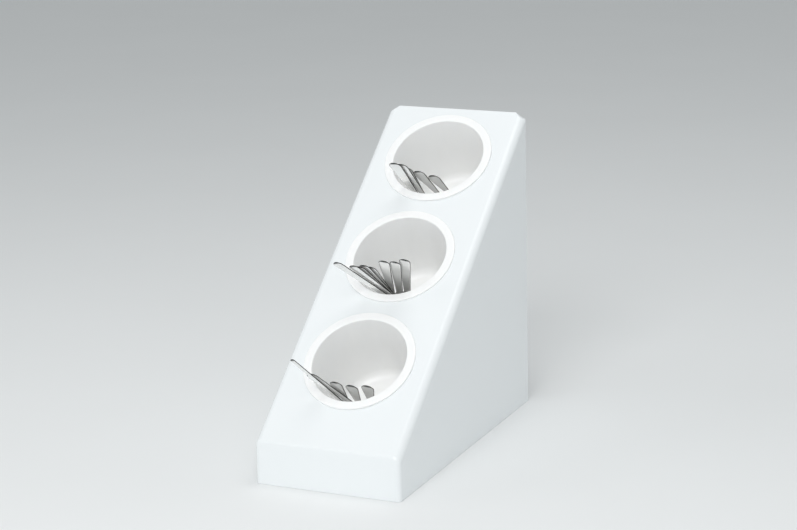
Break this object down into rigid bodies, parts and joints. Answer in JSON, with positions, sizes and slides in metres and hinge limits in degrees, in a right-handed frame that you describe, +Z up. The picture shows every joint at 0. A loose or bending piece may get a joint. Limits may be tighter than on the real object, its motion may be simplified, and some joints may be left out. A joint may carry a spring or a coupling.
{
  "type": "cutlery dispenser",
  "caption": "Sloped free-standing cutlery dispenser: a white bent-sheet stand holding tilted lift-out round cups, with polished cutlery standing in them.",
  "frame": {"origin": "middle of the front lip's bottom edge, on the table, half way through the lip's thickness", "axes": "+X to the right seen from the front, +Y to the open back, +Z up; the front faces -Y"},
  "size_m": [0.2, 0.4768, 0.407],
  "materials": {
    "opal_sheet": "opal white sheet, satin gloss",
    "cup_plastic": "smooth warm white, satin gloss",
    "polished_steel": "mirror-polished stainless steel"
  },
  "bodies": {
    "stand": {"stand": "opal_sheet"},
    "cup_low": {"cup_low": "cup_plastic"},
    "long_spoon_low_1": {"long_spoon_low_1": "polished_steel"},
    "spoon_low_2": {"spoon_low_2": "polished_steel"},
    "spoon_low_3": {"spoon_low_3": "polished_steel"},
    "spoon_low_4": {"spoon_low_4": "polished_steel"},
    "spoon_low_5": {"spoon_low_5": "polished_steel"},
    "cup_middle": {"cup_middle": "cup_plastic"},
    "knife_middle_1": {"knife_middle_1": "polished_steel"},
    "knife_middle_2": {"knife_middle_2": "polished_steel"},
    "knife_middle_3": {"knife_middle_3": "polished_steel"},
    "knife_middle_4": {"knife_middle_4": "polished_steel"},
    "knife_middle_5": {"knife_middle_5": "polished_steel"},
    "knife_middle_6": {"knife_middle_6": "polished_steel"},
    "knife_middle_7": {"knife_middle_7": "polished_steel"},
    "knife_middle_8": {"knife_middle_8": "polished_steel"},
    "cup_top": {"cup_top": "cup_plastic"},
    "fork_top_1": {"fork_top_1": "polished_steel"},
    "fork_top_2": {"fork_top_2": "polished_steel"},
    "fork_top_3": {"fork_top_3": "polished_steel"},
    "fork_top_4": {"fork_top_4": "polished_steel"},
    "fork_top_5": {"fork_top_5": "polished_steel"}
  },
  "joints": [
    {"name": "cup_low_lift", "type": "slide", "parent": "stand", "child": "cup_low", "axis": [0, -0.6278, 0.7784], "range_m": [0, 0.12]},
    {"name": "long_spoon_low_1_pull", "type": "slide", "parent": "cup_low", "child": "long_spoon_low_1", "axis": [-0.2678, -0.6899, 0.6726], "range_m": [0, 0.12]},
    {"name": "spoon_low_2_pull", "type": "slide", "parent": "cup_low", "child": "spoon_low_2", "axis": [-0.4302, -0.6464, 0.6302], "range_m": [0, 0.124]},
    {"name": "spoon_low_3_pull", "type": "slide", "parent": "cup_low", "child": "spoon_low_3", "axis": [0.0496, -0.7151, 0.6972], "range_m": [0, 0.118]},
    {"name": "spoon_low_4_pull", "type": "slide", "parent": "cup_low", "child": "spoon_low_4", "axis": [0.128, -0.7101, 0.6923], "range_m": [0, 0.117]},
    {"name": "spoon_low_5_pull", "type": "slide", "parent": "cup_low", "child": "spoon_low_5", "axis": [0.2226, -0.6981, 0.6806], "range_m": [0, 0.118]},
    {"name": "cup_middle_lift", "type": "slide", "parent": "stand", "child": "cup_middle", "axis": [0, -0.6278, 0.7784], "range_m": [0, 0.12]},
    {"name": "knife_middle_1_pull", "type": "slide", "parent": "cup_middle", "child": "knife_middle_1", "axis": [-0.3808, -0.7103, 0.5919], "range_m": [0, 0.126]},
    {"name": "knife_middle_2_pull", "type": "slide", "parent": "cup_middle", "child": "knife_middle_2", "axis": [-0.2908, -0.735, 0.6125], "range_m": [0, 0.122]},
    {"name": "knife_middle_3_pull", "type": "slide", "parent": "cup_middle", "child": "knife_middle_3", "axis": [-0.2017, -0.7524, 0.627], "range_m": [0, 0.12]},
    {"name": "knife_middle_4_pull", "type": "slide", "parent": "cup_middle", "child": "knife_middle_4", "axis": [-0.1169, -0.763, 0.6358], "range_m": [0, 0.12]},
    {"name": "knife_middle_5_pull", "type": "slide", "parent": "cup_middle", "child": "knife_middle_5", "axis": [-0.0196, -0.7681, 0.6401], "range_m": [0, 0.12]},
    {"name": "knife_middle_6_pull", "type": "slide", "parent": "cup_middle", "child": "knife_middle_6", "axis": [0.247, -0.7444, 0.6203], "range_m": [0, 0.121]},
    {"name": "knife_middle_7_pull", "type": "slide", "parent": "cup_middle", "child": "knife_middle_7", "axis": [0.2822, -0.737, 0.6142], "range_m": [0, 0.122]},
    {"name": "knife_middle_8_pull", "type": "slide", "parent": "cup_middle", "child": "knife_middle_8", "axis": [0.3079, -0.7309, 0.6091], "range_m": [0, 0.123]},
    {"name": "cup_top_lift", "type": "slide", "parent": "stand", "child": "cup_top", "axis": [0, -0.6278, 0.7784], "range_m": [0, 0.12]},
    {"name": "fork_top_1_pull", "type": "slide", "parent": "cup_top", "child": "fork_top_1", "axis": [-0.069, -0.7411, 0.6679], "range_m": [0, 0.118]},
    {"name": "fork_top_2_pull", "type": "slide", "parent": "cup_top", "child": "fork_top_2", "axis": [-0.0885, -0.7399, 0.6668], "range_m": [0, 0.118]},
    {"name": "fork_top_3_pull", "type": "slide", "parent": "cup_top", "child": "fork_top_3", "axis": [-0.0296, -0.7425, 0.6692], "range_m": [0, 0.119]},
    {"name": "fork_top_4_pull", "type": "slide", "parent": "cup_top", "child": "fork_top_4", "axis": [-0.203, -0.7274, 0.6555], "range_m": [0, 0.119]},
    {"name": "fork_top_5_pull", "type": "slide", "parent": "cup_top", "child": "fork_top_5", "axis": [-0.2215, -0.7244, 0.6528], "range_m": [0, 0.119]}
  ]
}
